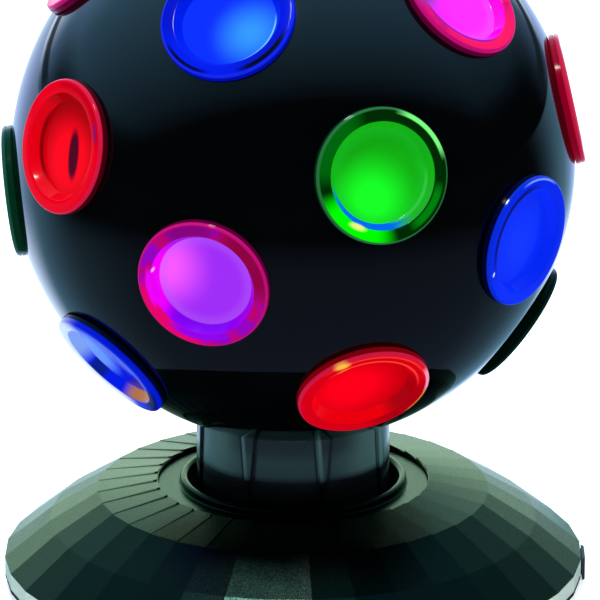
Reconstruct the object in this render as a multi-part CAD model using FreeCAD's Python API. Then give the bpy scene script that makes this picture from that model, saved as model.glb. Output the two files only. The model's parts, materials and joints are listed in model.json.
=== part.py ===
import FreeCAD, Part
import math
import os

# A rotating party light: a glossy black ball with coloured lens caps turns on a
# fluted neck in the collar of a faceted round base. Millimetres, +Z up, origin
# on the axis in the plane that the feet stand on. The front faces -Y, and an
# azimuth is counted from the front towards +X.

# Ball
ball_radius = 100.0
ball_underside_height = 57.5
shell_wall = 2.8
seam_rise_share = 0.477       # of the ball's radius, from its centre to the parting plane
lip_depth = 6.0               # of the locating lip below the parting plane
lip_height = 3.4              # of the locating lip above the parting plane
lip_wall = 2.0
lip_clearance = 0.15
lip_chamfer_drop = 1.0        # of the lip's outer corner below the parting plane
throat_radius = 22.0          # of the opening over the neck

# Lens caps
lens_radius = 23.3
lens_overhang = 0.2           # of the flange past the flat that it sits on
lens_thickness = 3.4
lens_seat_gap = 0.05
lens_rim_layer = 1.8          # of the flange under its groove
lens_groove_depth = 0.35
lens_groove_height = 0.3
lens_edge_round = 0.9
lens_flange_width = 4.7
lens_wall_run = 2.3           # of the sloping wall, from the flange in to the window
lens_dish_depth = 3.8
lens_floor_thickness = 1.5
lens_plug_setback = 5.5
lens_hole_clearance = 0.2
seat_cut_overrun = 3.0        # of the seat cutter past the lens edge

# Rows of lens caps, from the top down
lens_row_names = ["upper", "middle", "belt", "lower"]
lens_row_latitude_angles = [44.3, 12.4, -7.8, -37.7]
lens_row_start_angles = [-18.0, 18.0, -18.0, 18.0]
lens_count_per_row = 5
pole_latitude_angle = 90.0
# Upward shifts of the caps that sit a little off their row
lens_shift_angles = {
    "lens_upper_2": 0.4,
    "lens_upper_5": 1.9,
    "lens_middle_2": 0.6,
    "lens_belt_1": -1.8,
    "lens_belt_2": 0.9,
    "lens_belt_5": 1.1,
    "lens_lower_2": 0.6,
}

# Neck drum
neck_radius = 34.6
neck_wall = 2.4
neck_seat_gap = 0.05
neck_rib_count = 8
neck_rib_start_angle = 18.0
neck_rib_proud = 0.9
neck_rib_top_width = 5.8
neck_rib_tip_width = 1.2
neck_rib_tip_height = 37.5
neck_boss_count = 4
neck_boss_radius = 4.2
neck_boss_setback = 6.0       # of the boss axes from the drum's outside

# Ring gear and its pinion
gear_module = 1.0
ring_gear_reach = 2.9         # of its pitch circle past the neck
pinion_teeth = 15
pressure_angle = 20.0
gear_backlash = 0.2
gear_root_share = 1.25        # of the module, from the pitch circle down to the root
gear_flank_shares = [0.0, 0.35, 0.7, 1.0]
gear_underside = 21.5
gear_thickness = 5.0
gear_hub_radius = 11.5
gear_window_count = 6
gear_window_radius = 4.6
gear_window_circle = 18.6
pinion_drop = 0.3
pinion_thickness = 5.6
pinion_hub_radius = 4.5
pinion_hub_height = 1.2
pinion_angle = 180.0

# Base cover: three tiers between the rim and the mouth
rim_radius = 104.0
rim_wall_height = 7.5
lower_tier_rise = 13.4
middle_tier_rise = 10.4
upper_tier_rise = 3.7
middle_kink_share = 0.6976    # of the way from the top tier's inner edge out to the rim
upper_kink_share = 0.388
pleat_inner_height = 0.45
pleat_outer_height = 0.2
facet_count = 36
facet_start_angle = 4.4
cover_wall = 2.4
cover_mouth_setback = 0.5     # of the mouth from the top tier's inner edge
cover_screw_count = 4
cover_screw_start_angle = 30.0
cover_screw_setback = 22.0    # of the screws from the rim
cover_boss_radius = 4.0
cover_boss_hole_depth = 14.0

# Collar ring in the cover's mouth
collar_neck_gap = 3.1         # round the neck
collar_well_wall = 2.2
collar_gear_gap = 1.9         # over the ring gear
collar_lip_thickness = 3.0
collar_lip_bevel = 1.1
collar_lip_rise = 3.0         # above the sunk ring
collar_ring_width = 7.9       # of the sunk ring, from the lip to the cover's mouth
collar_ring_drop = 1.3        # of the sunk ring below the cover's mouth
collar_mouth_clearance = 0.15
collar_flange_width = 5.4     # under the cover, past the mouth
collar_flange_thickness = 1.8
collar_flange_drop = 0.15     # below the cover's inner face

# Bottom plate
plate_setback = 1.4           # of its edge from the rim
plate_edge_thickness = 1.5
plate_thickness = 3.0
plate_spigot_clearance = 0.6  # inside the rim wall
centre_boss_radius = 13.0
centre_recess_radius = 9.4
centre_boss_height = 10.0
centre_deck_thickness = 2.5
lead_slot_width = 5.0
plate_screw_head_depth = 2.0

# Feet
foot_count = 4
foot_start_angle = 45.0
foot_setback = 14.0           # of their middles from the rim
foot_height = 2.0
foot_radius = 7.5
foot_stem_radius = 2.9
foot_stem_clearance = 0.1
foot_barb_radius = 3.7
foot_barb_height = 1.2

# Stem, bush and nuts
stem_radius = 5.0
stem_bore = 3.6
stem_foot_height = 8.0
stem_fit = 0.05
nut_across_flats = 14.0
nut_sides = 6
nut_height = 3.5
bush_flange_radius = 9.5
bush_flange_thickness = 2.0
bush_radius = 7.0
bush_running_clearance = 0.05
bush_end_play = 0.05
washer_radius = 10.5
washer_thickness = 1.5
washer_end_play = 0.1
hub_height = 7.0

# Lampholder and lamp
bulb_radius_share = 0.2885    # of the lamp's length
bulb_glass = 1.0
bulb_join_angle = 40.0        # from straight down to where the ball of glass meets its cone
lamp_length = 78.0
cap_radius = 6.95
cap_length = 22.0
cap_wall = 0.6
contact_radius = 2.4
contact_length = 3.0
bulb_neck_radius = 6.3
holder_radius = 13.6
holder_wall = 2.0
holder_length = 38.0
holder_base_thickness = 4.0
holder_thread_depth = 4.0
liner_clearance = 0.1
liner_bore = 7.3
liner_length = 23.0
liner_floor = 3.0
filament_radius = 0.5
filament_spread = 7.0
filament_drop = 6.0
mount_glass_radius = 2.6
mount_glass_height = 17.0
mount_flare_clearance = 0.05  # inside the lamp's glass neck

# Gear motor
motor_radius = 24.5
motor_can_height = 11.5
motor_lid_height = 3.5
motor_nose_radius = 6.0
motor_nose_height = 0.5
motor_ear_span = 30.0
motor_ear_radius = 5.0
motor_ear_thickness = 1.2
motor_shaft_radius = 2.5
motor_shaft_clearance = 0.05
motor_shaft_depth = 4.0
motor_shaft_past_pinion = 1.2
pinion_bore_fit = 0.02

# Screws
screw_radius = 1.5
screw_head_radius = 2.8
screw_head_height = 1.9
screw_clearance = 0.2
head_clearance = 0.3
short_screw_length = 7.0
cover_screw_length = 14.0
pilot_overrun = 0.6
throat_pad_radius = 4.2
throat_pad_rise = 1.2

# Cord gland, cord clamp and terminal block
gland_angle = 89.4
gland_bore = 2.2
gland_axis_rise = 3.0         # above the plate's edge
gland_neck_width = 11.0
gland_neck_height = 6.0
gland_flange_width = 17.0
gland_flange_thickness = 1.8
gland_clearance = 0.1
gland_mouth_height = 8.2
gland_root_width = 15.0
gland_mouth_width = 12.0
gland_reach = 1.1
clamp_setback = 20.0          # of the clamp from the rim
clamp_length = 20.0
clamp_width = 6.0
clamp_thickness = 2.6
clamp_post_height = 4.6
clamp_post_radius = 3.0
clamp_screw_spacing = 14.0
clamp_saddle_radius = 2.6
clamp_screw_length = 6.0
block_angle = 60.0
block_setback = 52.0          # of its middle from the rim
block_length = 24.0
block_width = 14.0
block_height = 11.0
block_ways = 3
block_screw_radius = 1.7
block_screw_depth = 4.0
block_wire_radius = 1.6
block_wire_rise = 3.7         # of the wire holes above the plate

# Leads from the terminal block up the stem
lead_radius = 0.8
lead_spacing = 2.3
lead_floor_gap = 0.7          # of the leads above the plate
lead_top_gap = 1.2            # below the lamp's contact

cut_overrun = 1.0             # one overrun serves every through cut

# Radii that follow from the sizes above
bulb_radius = bulb_radius_share * lamp_length
collar_bore = neck_radius + collar_neck_gap
collar_lip_outer = collar_bore + collar_lip_thickness
cover_mouth_radius = collar_lip_outer + collar_ring_width
crown_edge_radius = cover_mouth_radius + cover_mouth_setback
tiers_run = rim_radius - crown_edge_radius
middle_kink_radius = crown_edge_radius + middle_kink_share * tiers_run
upper_kink_radius = crown_edge_radius + upper_kink_share * tiers_run
cover_screw_circle = rim_radius - cover_screw_setback
collar_flange_radius = cover_mouth_radius + collar_flange_width
plate_radius = rim_radius - plate_setback
plate_spigot_radius = rim_radius - cover_wall - plate_spigot_clearance
foot_circle = rim_radius - foot_setback
clamp_circle = rim_radius - clamp_setback
block_circle = rim_radius - block_setback
neck_boss_circle = neck_radius - neck_boss_setback
lens_dish_radius = lens_radius - lens_flange_width
lens_floor_radius = lens_dish_radius - lens_wall_run
lens_plug_radius = lens_radius - lens_plug_setback
lens_seat_distance = math.sqrt(ball_radius ** 2 - (lens_radius - lens_overhang) ** 2)

ring_teeth = round(2 * (neck_radius + ring_gear_reach) / gear_module)

# Heights that follow from them
ball_centre_height = ball_underside_height + ball_radius
seam_rise = seam_rise_share * ball_radius
rim_bottom = foot_height + plate_edge_thickness
rim_top = rim_bottom + rim_wall_height
middle_kink_height = rim_top + lower_tier_rise
upper_kink_height = middle_kink_height + middle_tier_rise
crown_edge_height = upper_kink_height + upper_tier_rise
plate_top = foot_height + plate_thickness
boss_top = plate_top + centre_boss_height
bush_bottom = boss_top + nut_height
hub_bottom = bush_bottom + bush_flange_thickness + bush_end_play
hub_top = hub_bottom + hub_height
bush_top = hub_top + washer_end_play
gear_top = gear_underside + gear_thickness
collar_well_bottom = gear_top + collar_gear_gap
collar_top_height = crown_edge_height - collar_ring_drop
collar_lip_height = collar_top_height + collar_lip_rise
gland_axis_height = rim_bottom + gland_axis_rise
gland_neck_top = rim_bottom + gland_neck_height
gland_mouth_top = foot_height + gland_mouth_height
lamp_bottom = ball_centre_height + bulb_radius - lamp_length
cap_top = lamp_bottom + contact_length + cap_length
liner_bottom = lamp_bottom - liner_floor
holder_bottom = liner_bottom - holder_base_thickness
stem_top = holder_bottom + holder_thread_depth
motor_top = plate_top + motor_can_height + motor_lid_height
gear_centres = gear_module * (ring_teeth + pinion_teeth) / 2

up = FreeCAD.Vector(0, 0, 1)


# Small helpers
def at(radius, azimuth, height):
    turn = math.radians(azimuth)
    return FreeCAD.Vector(radius * math.sin(turn), -radius * math.cos(turn), height)


def rod(radius, bottom, top, place=None):
    foot = FreeCAD.Vector(0, 0, bottom)
    if place:
        foot = foot + place
    return Part.makeCylinder(radius, top - bottom, foot, up)


def ring(outer, inner, bottom, top):
    hole = rod(inner, bottom - cut_overrun, top + cut_overrun)
    return rod(outer, bottom, top).cut(hole)


def turned(points, height=0):
    corners = [FreeCAD.Vector(radius, 0, rise + height) for radius, rise in points]
    outline = Part.makePolygon(corners + corners[:1])
    return Part.Face(outline).revolve(FreeCAD.Vector(0, 0, 0), up, 360)


def prism(points, bottom, top):
    corners = [FreeCAD.Vector(x, y, bottom) for x, y in points]
    outline = Part.makePolygon(corners + corners[:1])
    return Part.Face(outline).extrude(FreeCAD.Vector(0, 0, top - bottom))


def around(count, first=0.0):
    return [first + 360.0 * step / count for step in range(count)]


def turned_to(shape, azimuth):
    copy = shape.copy()
    copy.rotate(FreeCAD.Vector(0, 0, 0), up, azimuth)
    return copy


def group(solids):
    return Part.makeCompound(solids)


def screw(place, head_base, length, heading=1):
    """A pan head screw: its head stands above head_base, its shank goes the other way."""
    tip = head_base - heading * length
    crown = head_base + heading * screw_head_height
    shank = rod(screw_radius, min(tip, head_base), max(tip, head_base), place)
    head = rod(screw_head_radius, min(crown, head_base), max(crown, head_base), place)
    return shank.fuse(head).removeSplitter()


# Ball shells
def lens_places():
    """Name, azimuth and latitude of each lens cap."""
    places = []
    for row, latitude, start in zip(lens_row_names, lens_row_latitude_angles, lens_row_start_angles):
        for step, azimuth in enumerate(around(lens_count_per_row, start)):
            name = f"lens_{row}_{step + 1}"
            places.append((name, azimuth, latitude + lens_shift_angles.get(name, 0)))
    places.append(("lens_pole", 0, pole_latitude_angle))
    return places


def on_ball(shape, azimuth, latitude):
    """Moves a shape made on +Z about the origin to its direction on the ball."""
    copy = shape.copy()
    tilt = pole_latitude_angle - latitude
    copy.rotate(FreeCAD.Vector(0, 0, 0), FreeCAD.Vector(1, 0, 0), tilt)
    copy.rotate(FreeCAD.Vector(0, 0, 0), up, azimuth)
    copy.translate(FreeCAD.Vector(0, 0, ball_centre_height))
    return copy


def lens_opening():
    """What each lens cap takes from the shell: a flat seat and a round hole."""
    seat = rod(lens_radius + seat_cut_overrun, lens_seat_distance,
               ball_radius + seat_cut_overrun)
    hole = rod(lens_plug_radius + lens_hole_clearance,
               ball_radius - shell_wall - 2 * seat_cut_overrun, ball_radius)
    return seat.fuse(hole)


def hollow_ball():
    centre = FreeCAD.Vector(0, 0, ball_centre_height)
    outside = Part.makeSphere(ball_radius, centre)
    inside = Part.makeSphere(ball_radius - shell_wall, centre)
    return outside.cut(inside)


def shell_openings(above_seam):
    opening = lens_opening()
    tools = []
    for name, azimuth, latitude in lens_places():
        is_above = ball_radius * math.sin(math.radians(latitude)) > seam_rise
        if is_above == above_seam:
            tools.append(on_ball(opening, azimuth, latitude))
    return tools


def seam_lip():
    inner = ball_radius - shell_wall
    top = seam_rise + lip_height
    bottom = seam_rise - lip_depth
    outer = math.sqrt(inner ** 2 - top ** 2) - lip_clearance
    root_top = seam_rise - lip_depth / 2
    root = math.sqrt((ball_radius - shell_wall / 2) ** 2 - root_top ** 2)
    outline = [(outer - lip_wall, bottom), (root, bottom), (root, root_top),
               (outer, seam_rise - lip_chamfer_drop), (outer, top), (outer - lip_wall, top)]
    return turned(outline, ball_centre_height)


def throat_pads():
    """Flats inside the lower shell for the screws that hold it to the neck."""
    seat = ball_radius - shell_wall
    low = ball_centre_height - math.sqrt(seat ** 2 - neck_boss_circle ** 2)
    pads = []
    for azimuth in around(neck_boss_count, neck_rib_start_angle):
        place = at(neck_boss_circle, azimuth, 0)
        pads.append(rod(throat_pad_radius, low - shell_wall / 2, low + throat_pad_rise, place))
    return pads


def throat_pad_top():
    seat = ball_radius - shell_wall
    low = ball_centre_height - math.sqrt(seat ** 2 - neck_boss_circle ** 2)
    return low + throat_pad_rise


def lower_shell():
    seam = ball_centre_height + seam_rise
    above = rod(ball_radius + cut_overrun, seam, seam + ball_radius)
    throat = rod(throat_radius, foot_height, ball_centre_height)
    shell = hollow_ball().fuse([seam_lip()] + throat_pads())
    top = throat_pad_top()
    holes = [rod(screw_radius + screw_clearance, ball_centre_height - ball_radius, top + cut_overrun,
                 at(neck_boss_circle, azimuth, 0))
             for azimuth in around(neck_boss_count, neck_rib_start_angle)]
    keep_lip = seam_lip()
    return shell.cut([above, throat] + holes + shell_openings(False)).fuse(keep_lip)


def upper_shell():
    seam = ball_centre_height + seam_rise
    below = rod(ball_radius + cut_overrun, seam - 2 * ball_radius, seam)
    return hollow_ball().cut([below] + shell_openings(True))


# Lens caps
def lens_cap():
    """A dished cap on +Z: flange with a grooved edge, sloping wall, thin window, plug."""
    base = lens_seat_distance + lens_seat_gap
    front = base + lens_thickness
    groove = base + lens_rim_layer
    floor = front - lens_dish_depth
    back = floor - lens_floor_thickness
    groove_radius = lens_radius - lens_groove_depth
    outline = [(0, back), (lens_plug_radius, back), (lens_plug_radius, base), (lens_radius, base),
               (lens_radius, groove - lens_groove_height), (groove_radius, groove),
               (lens_radius, groove + lens_groove_height),
               (lens_radius, front - lens_edge_round),
               (lens_radius - lens_edge_round, front), (lens_dish_radius, front),
               (lens_floor_radius, floor), (0, floor)]
    return turned(outline)


# Neck drum
def neck_drum():
    centre = FreeCAD.Vector(0, 0, ball_centre_height)
    reach = ball_centre_height - math.sqrt(ball_radius ** 2 - neck_radius ** 2) + shell_wall
    wall = ring(neck_radius, neck_radius - neck_wall, gear_top, reach)
    parts = [neck_rib(azimuth, reach) for azimuth in around(neck_rib_count, neck_rib_start_angle)]
    holes = []
    for azimuth in around(neck_boss_count, neck_rib_start_angle):
        place = at(neck_boss_circle, azimuth, 0)
        parts.append(rod(neck_boss_radius, gear_top, reach, place))
        holes.append(rod(screw_radius, gear_top - cut_overrun,
                         gear_top + short_screw_length + pilot_overrun, place))
        holes.append(rod(screw_radius, throat_pad_top() - cover_screw_length - pilot_overrun,
                         reach + cut_overrun, place))
    seat = Part.makeSphere(ball_radius + neck_seat_gap, centre)
    return wall.fuse(parts).cut([seat] + holes)


def neck_rib(azimuth, top):
    """A raised rib that narrows downwards."""
    half_top = neck_rib_top_width / 2
    half_tip = neck_rib_tip_width / 2
    inner = neck_radius - neck_wall / 2
    outer = neck_radius + neck_rib_proud
    corners = [FreeCAD.Vector(-half_tip, -inner, neck_rib_tip_height),
               FreeCAD.Vector(half_tip, -inner, neck_rib_tip_height),
               FreeCAD.Vector(half_top, -inner, top),
               FreeCAD.Vector(-half_top, -inner, top)]
    face = Part.Face(Part.makePolygon(corners + corners[:1]))
    rib = face.extrude(FreeCAD.Vector(0, inner - outer - neck_rib_proud, 0))
    rounding = ring(outer + 2 * neck_rib_proud, outer, neck_rib_tip_height - cut_overrun, top + cut_overrun)
    return turned_to(rib.cut(rounding), azimuth)


# Gears
def involute(base_radius, radius):
    """Roll angle, in radians, where an involute from base_radius reaches radius."""
    return math.sqrt(max((radius / base_radius) ** 2 - 1, 0))


def gear_outline(teeth):
    """One closed outline of a spur gear about the origin, a gap centred on +X."""
    pitch = gear_module * teeth / 2
    base = pitch * math.cos(math.radians(pressure_angle))
    tip = pitch + gear_module
    root = pitch - gear_root_share * gear_module
    start = max(base, root)
    pitch_roll = involute(base, pitch)
    pitch_turn = pitch_roll - math.atan(pitch_roll)
    half_tooth = math.pi / (2 * teeth) - gear_backlash / (2 * pitch)
    flank = []
    for share in gear_flank_shares:
        radius = start + (tip - start) * share
        roll = involute(base, radius)
        turn = roll - math.atan(roll) - pitch_turn
        flank.append((radius, half_tooth - turn))
    points = []
    for tooth in range(teeth):
        middle = 2 * math.pi * (tooth + 0.5) / teeth
        left = [(root, middle - flank[0][1])] + [(r, middle - a) for r, a in flank]
        right = [(r, middle + a) for r, a in reversed(flank)] + [(root, middle + flank[0][1])]
        if start <= root:
            left = left[1:]
            right = right[:-1]
        points += left + right
    vectors = [FreeCAD.Vector(r * math.cos(a), r * math.sin(a), 0) for r, a in points]
    return Part.Face(Part.makePolygon(vectors + vectors[:1]))


def drive_gear():
    """Ring gear, floor of the neck and hub in one moulding."""
    disc = gear_outline(ring_teeth).extrude(FreeCAD.Vector(0, 0, gear_thickness))
    disc.translate(FreeCAD.Vector(0, 0, gear_underside))
    disc = turned_to(disc, pinion_angle - 90.0)
    hub = rod(gear_hub_radius, hub_bottom, hub_top)
    cuts = [rod(bush_radius + bush_running_clearance, hub_bottom - cut_overrun, hub_top + cut_overrun)]
    for azimuth in around(gear_window_count, pinion_angle):
        cuts.append(rod(gear_window_radius, gear_underside - cut_overrun, gear_top + cut_overrun,
                        at(gear_window_circle, azimuth, 0)))
    for azimuth in around(neck_boss_count, neck_rib_start_angle):
        place = at(neck_boss_circle, azimuth, 0)
        cuts.append(rod(screw_radius + screw_clearance, gear_underside - cut_overrun,
                        gear_top + cut_overrun, place))
        cuts.append(rod(screw_head_radius + head_clearance, gear_underside - cut_overrun,
                        gear_underside + screw_head_height + head_clearance, place))
    return disc.fuse(hub).cut(cuts)


def drive_pinion():
    bottom = gear_underside - pinion_drop
    top = bottom + pinion_thickness
    wheel = gear_outline(pinion_teeth).extrude(FreeCAD.Vector(0, 0, pinion_thickness))
    wheel.translate(FreeCAD.Vector(0, 0, bottom))
    half_pitch = 180.0 / pinion_teeth
    wheel.rotate(FreeCAD.Vector(0, 0, 0), up, pinion_angle + 90.0 + half_pitch)
    hub = rod(pinion_hub_radius, top, top + pinion_hub_height)
    bore = rod(motor_shaft_radius + pinion_bore_fit, bottom - cut_overrun,
               top + pinion_hub_height + cut_overrun)
    pinion = wheel.fuse(hub).cut(bore)
    pinion.translate(at(gear_centres, pinion_angle, 0))
    return pinion


# Base cover
def cover_kinks():
    return [(crown_edge_radius, crown_edge_height), (upper_kink_radius, upper_kink_height),
            (middle_kink_radius, middle_kink_height), (rim_radius, rim_top),
            (rim_radius, rim_bottom)]


def inner_kinks():
    """The cover's outline moved inwards by its wall, corner by corner."""
    kinks = [(0, crown_edge_height)] + cover_kinks()
    moved = []
    for before, here, after in zip(kinks, kinks[1:], kinks[2:]):
        first = math.atan2(here[1] - before[1], here[0] - before[0])
        second = math.atan2(after[1] - here[1], after[0] - here[0])
        middle = (first + second) / 2
        reach = cover_wall / math.cos((second - first) / 2)
        moved.append((here[0] + reach * math.sin(middle), here[1] - reach * math.cos(middle)))
    return moved


def flat(*corners):
    return Part.Face(Part.makePolygon(list(corners) + [corners[0]]))


def faceted_body():
    """The cover's closed outer form: three tiers of facets, pleated on the top tier."""
    angles = around(facet_count, facet_start_angle)
    rings = [[at(radius, azimuth, height) for azimuth in angles] for radius, height in cover_kinks()]
    raised_outer = [point + up * pleat_outer_height for point in rings[1]]
    raised_inner = [point + up * pleat_inner_height for point in rings[0]]
    faces = [flat(*rings[0]), flat(*reversed(rings[-1]))]
    for here in range(facet_count):
        last = here - 1
        low_in, low_out = rings[0][last], rings[1][last]
        high_in, high_out = raised_inner[here], raised_outer[here]
        foot_in, foot_out = rings[0][here], rings[1][here]
        faces.append(flat(high_in, high_out, low_out))
        faces.append(flat(high_in, low_out, low_in))
        faces.append(flat(foot_in, high_in, high_out, foot_out))
        faces.append(flat(low_out, foot_out, high_out))
        faces.append(flat(low_in, high_in, foot_in))
        for top, bottom in zip(rings[1:], rings[2:]):
            faces.append(flat(top[last], top[here], bottom[here], bottom[last]))
    body = Part.Solid(Part.Shell(faces))
    if body.Volume < 0:
        body.reverse()
    return body


def base_cover():
    body = faceted_body()
    inner = inner_kinks()
    deep = rim_bottom - cut_overrun
    cavity = turned([(0, deep), (inner[3][0], deep)] + list(reversed(inner[:4])) + [(0, inner[0][1])])
    mouth = rod(cover_mouth_radius, plate_top, crown_edge_height + cut_overrun)
    shell = body.cut([cavity, mouth])
    posts = []
    pilots = []
    for azimuth in around(cover_screw_count, cover_screw_start_angle):
        place = at(cover_screw_circle, azimuth, 0)
        posts.append(rod(cover_boss_radius, plate_top, crown_edge_height, place).common(body))
        pilots.append(rod(screw_radius, plate_top - cut_overrun,
                          plate_top + cover_boss_hole_depth, place))
    return shell.fuse(posts).cut(pilots + [gland_notch()])


def collar_ring():
    """The sunk ring round the neck, its raised lip and the well wall below it."""
    inner = inner_kinks()
    well = collar_bore + collar_well_wall
    outer = cover_mouth_radius - collar_mouth_clearance
    slope = (inner[0][1] - inner[1][1]) / (inner[1][0] - inner[0][0])
    edge = inner[0][1] - slope * (collar_flange_radius - inner[0][0]) - collar_flange_drop
    under = edge - collar_flange_thickness
    lip_root = collar_lip_height - collar_lip_bevel
    return turned([(collar_bore, collar_well_bottom), (well, collar_well_bottom), (well, under),
                   (collar_flange_radius, under), (collar_flange_radius, edge), (outer, edge),
                   (outer, collar_top_height), (collar_lip_outer, collar_top_height),
                   (collar_lip_outer, lip_root), (collar_lip_outer - collar_lip_bevel, collar_lip_height),
                   (collar_bore + collar_lip_bevel, collar_lip_height), (collar_bore, lip_root)])


# Bottom plate and feet
def bottom_plate():
    disc = turned([(0, foot_height), (plate_radius, foot_height), (plate_radius, rim_bottom),
                   (plate_spigot_radius, rim_bottom), (plate_spigot_radius, plate_top), (0, plate_top)])
    boss = rod(centre_boss_radius, foot_height, boss_top)
    posts = [rod(clamp_post_radius, foot_height, plate_top + clamp_post_height, place)
             for place in clamp_places()]
    deck = boss_top - centre_deck_thickness
    slot = Part.makeBox(2 * centre_boss_radius, lead_slot_width, deck - plate_top,
                        FreeCAD.Vector(0, -lead_slot_width / 2, plate_top))
    cuts = [rod(centre_recess_radius, foot_height - cut_overrun, deck),
            rod(stem_radius + stem_fit, foot_height, boss_top + cut_overrun), slot, gland_bay()]
    for azimuth in around(cover_screw_count, cover_screw_start_angle):
        place = at(cover_screw_circle, azimuth, 0)
        cuts.append(rod(screw_radius + screw_clearance, foot_height - cut_overrun,
                        plate_top + cut_overrun, place))
        cuts.append(rod(screw_head_radius + head_clearance, foot_height - cut_overrun,
                        foot_height + plate_screw_head_depth, place))
    for azimuth in around(foot_count, foot_start_angle):
        cuts.append(rod(foot_stem_radius + foot_stem_clearance, foot_height - cut_overrun,
                        plate_top + cut_overrun, at(foot_circle, azimuth, 0)))
    for place in motor_ear_places() + [block_place()]:
        cuts.append(rod(screw_radius, foot_height + pilot_overrun, plate_top + cut_overrun, place))
    for place in clamp_places():
        cuts.append(rod(screw_radius, foot_height + pilot_overrun,
                        plate_top + clamp_post_height + cut_overrun, place))
    return disc.fuse([boss] + posts).cut(cuts)


def rubber_feet():
    feet = []
    for azimuth in around(foot_count, foot_start_angle):
        place = at(foot_circle, azimuth, 0)
        pad = rod(foot_radius, 0, foot_height, place)
        stem = rod(foot_stem_radius, foot_height, plate_top, place)
        barb = rod(foot_barb_radius, plate_top, plate_top + foot_barb_height, place)
        feet.append(pad.fuse([stem, barb]))
    return group(feet)


def cover_screws():
    base = foot_height + plate_screw_head_depth
    return group([screw(at(cover_screw_circle, azimuth, 0), base, cover_screw_length, -1)
                  for azimuth in around(cover_screw_count, cover_screw_start_angle)])


# Stem and bearing
def centre_stem():
    return ring(stem_radius, stem_bore, stem_foot_height, stem_top)


def hex_nut(bottom):
    corner = nut_across_flats / 2 / math.cos(math.pi / nut_sides)
    turns = [math.radians(azimuth) for azimuth in around(nut_sides)]
    corners = [(corner * math.cos(turn), corner * math.sin(turn)) for turn in turns]
    bore = rod(stem_radius + stem_fit, bottom - cut_overrun, bottom + nut_height + cut_overrun)
    return prism(corners, bottom, bottom + nut_height).cut(bore)


def stem_nuts():
    deck = boss_top - centre_deck_thickness
    return group([hex_nut(deck - nut_height), hex_nut(boss_top), hex_nut(bush_top + washer_thickness)])


def bearing_bush():
    flange = bush_bottom + bush_flange_thickness
    return turned([(stem_radius + stem_fit, bush_bottom), (bush_flange_radius, bush_bottom),
                   (bush_flange_radius, flange), (bush_radius, flange), (bush_radius, bush_top),
                   (stem_radius + stem_fit, bush_top)])


def retaining_washer():
    return ring(washer_radius, stem_radius + stem_fit, bush_top, bush_top + washer_thickness)


# Motor
def motor_ear_places():
    centre = at(gear_centres, pinion_angle, 0)
    return [centre + FreeCAD.Vector(side * motor_ear_span, 0, 0) for side in (-1, 1)]


def motor_can():
    centre = at(gear_centres, pinion_angle, 0)
    can = rod(motor_radius, plate_top, plate_top + motor_can_height, centre)
    strap = Part.makeBox(2 * motor_ear_span, 2 * motor_ear_radius, motor_ear_thickness,
                         centre + FreeCAD.Vector(-motor_ear_span, -motor_ear_radius, plate_top))
    ears = [rod(motor_ear_radius, plate_top, plate_top + motor_ear_thickness, place)
            for place in motor_ear_places()]
    cuts = [rod(screw_radius + screw_clearance, foot_height, plate_top + motor_can_height, place)
            for place in motor_ear_places()]
    cuts.append(shaft_hole())
    return can.fuse([strap] + ears).cut(cuts)


def shaft_hole():
    centre = at(gear_centres, pinion_angle, 0)
    bottom = plate_top + motor_can_height - motor_shaft_depth
    return rod(motor_shaft_radius + motor_shaft_clearance, bottom, gear_underside, centre)


def motor_lid():
    centre = at(gear_centres, pinion_angle, 0)
    lid = rod(motor_radius, plate_top + motor_can_height, motor_top, centre)
    nose = rod(motor_nose_radius, motor_top, motor_top + motor_nose_height, centre)
    return lid.fuse(nose).cut(shaft_hole())


def motor_shaft():
    bottom = plate_top + motor_can_height - motor_shaft_depth + bush_end_play
    top = gear_underside - pinion_drop + pinion_thickness + pinion_hub_height + motor_shaft_past_pinion
    return rod(motor_shaft_radius, bottom, top, at(gear_centres, pinion_angle, 0))


def motor_screws():
    base = plate_top + motor_ear_thickness
    depth = motor_ear_thickness + plate_thickness - pilot_overrun
    return group([screw(place, base, depth) for place in motor_ear_places()])


# Lampholder and lamp
def lampholder_shell():
    inner = holder_radius - holder_wall
    top = holder_bottom + holder_length
    shoulder = stem_radius + holder_wall
    return turned([(stem_radius + stem_fit, holder_bottom), (shoulder + holder_wall, holder_bottom),
                   (holder_radius, holder_bottom + holder_base_thickness), (holder_radius, top),
                   (inner, top), (inner, liner_bottom), (stem_radius + stem_fit, liner_bottom)])


def lampholder_liner():
    outer = holder_radius - holder_wall - liner_clearance
    top = liner_bottom + liner_floor + liner_length
    return turned([(contact_radius, liner_bottom), (outer, liner_bottom), (outer, top),
                   (liner_bore, top), (liner_bore, lamp_bottom), (contact_radius, lamp_bottom)])


def lamp_cap():
    foot = lamp_bottom + contact_length
    return turned([(0, lamp_bottom), (contact_radius, lamp_bottom), (cap_radius, foot),
                   (cap_radius, cap_top), (cap_radius - cap_wall, cap_top),
                   (cap_radius - cap_wall, foot + cap_wall), (0, foot + cap_wall)])


def lamp_bulb():
    """Pear shaped glass: a sphere drawn down to the cap."""
    centre = ball_centre_height
    join = centre - bulb_radius * math.cos(math.radians(bulb_join_angle))
    waist = bulb_radius * math.sin(math.radians(bulb_join_angle))
    foot = lamp_bottom + contact_length + 2 * cap_wall
    outside = glass_form(bulb_radius, waist, join, bulb_neck_radius, foot)
    inside = glass_form(bulb_radius - bulb_glass, waist - bulb_glass, join,
                        bulb_neck_radius - bulb_glass, foot - cut_overrun)
    return outside.cut(inside)


def glass_form(radius, waist, join, neck, foot):
    centre = FreeCAD.Vector(0, 0, ball_centre_height)
    ball = Part.makeSphere(radius, centre)
    cone = turned([(0, cap_top), (neck, cap_top), (waist, join), (0, join)])
    tail = rod(neck, foot, cap_top)
    return ball.fuse([cone, tail])


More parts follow.
